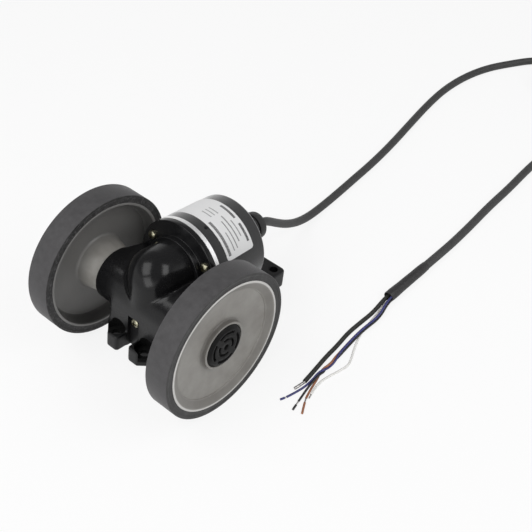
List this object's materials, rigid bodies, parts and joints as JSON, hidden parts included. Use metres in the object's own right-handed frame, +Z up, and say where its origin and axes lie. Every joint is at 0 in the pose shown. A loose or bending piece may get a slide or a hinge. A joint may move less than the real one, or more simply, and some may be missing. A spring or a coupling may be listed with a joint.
{
  "type": "measuring wheel encoder",
  "caption": "Measuring wheel encoder: rubber-tyred wheels on one axle drive a rotary encoder through a black gear housing with a long foot, and a cable ends in bare wires.",
  "frame": {"origin": "bottom centre of the part without its cable, on the ground under the wheels and foot", "axes": "+X along the axle to the right wheel, +Y back towards the cable, +Z up"},
  "size_m": [0.147, 0.4207, 0.0796],
  "materials": {
    "tyre": "matte moulded rubber",
    "wheel_disc": "cast, satin warm grey",
    "hub_cap": "matte black",
    "steel": "turned steel",
    "gear_steel": "cut steel",
    "brass": "cut brass",
    "housing": "die casting, gloss black paint",
    "screw": "nickel plated",
    "base": "turned, bright",
    "cover": "dark grey, semi-matt",
    "label": "printed film",
    "rubber": "matt black rubber",
    "cable": "dark grey sheath",
    "sleeve": "shrunk dark grey sleeve",
    "wire_black": "insulation",
    "wire_blue": "insulation",
    "wire_brown": "insulation",
    "wire_white": "insulation",
    "board": "green laminate",
    "optics": "black moulding"
  },
  "bodies": {
    "housing": {"axle_bearing_outer_rings": "steel", "axle_seals": "rubber", "gear_housing": "housing", "flange_screws": "screw", "encoder_base": "base", "shaft_bearing_outer_rings": "steel", "light_source": "optics", "slit_mask": "steel", "light_sensor": "optics", "circuit_board": "board", "board_posts": "brass", "board_screws": "screw", "encoder_cover": "cover", "cover_screws": "screw", "label": "label", "cable_boot": "rubber", "cable_out": "cable", "cable_coil": "cable", "coil_tie": "optics", "cable_back": "cable", "cable_sleeve": "sleeve", "wire_shield": "wire_black", "wire_blue": "wire_blue", "wire_black": "wire_black", "wire_brown": "wire_brown", "wire_white": "wire_white"},
    "wheel_set": {"tyre_left": "tyre", "tyre_right": "tyre", "wheel_disc_left": "wheel_disc", "wheel_disc_right": "wheel_disc", "hub_cap_left": "hub_cap", "hub_cap_right": "hub_cap", "axle": "steel", "axle_end_screws": "screw", "axle_washers": "steel", "hub_spacers": "steel", "gear_sleeves": "steel", "axle_bearing_inner_rings": "steel", "axle_bearing_balls": "steel", "drive_gear": "gear_steel"},
    "encoder_rotor": {"encoder_shaft": "steel", "driven_gear": "brass", "shaft_spacer": "brass", "shaft_bearing_inner_rings": "steel", "shaft_bearing_balls": "steel", "disc_hub": "brass", "code_disc": "steel"}
  },
  "joints": [
    {"name": "wheel_spin", "type": "hinge", "parent": "housing", "child": "wheel_set", "pos_m": [0, -0.01935, 0.0398], "axis": [1, 0, 0], "continuous": true},
    {"name": "encoder_spin", "type": "hinge", "parent": "housing", "child": "encoder_rotor", "pos_m": [0, -0.01713, 0.05159], "axis": [0, 0.9828, -0.1846], "continuous": true}
  ],
  "couplings": [
    {"joint": "encoder_spin", "follows": "wheel_spin", "ratio": 1}
  ]
}
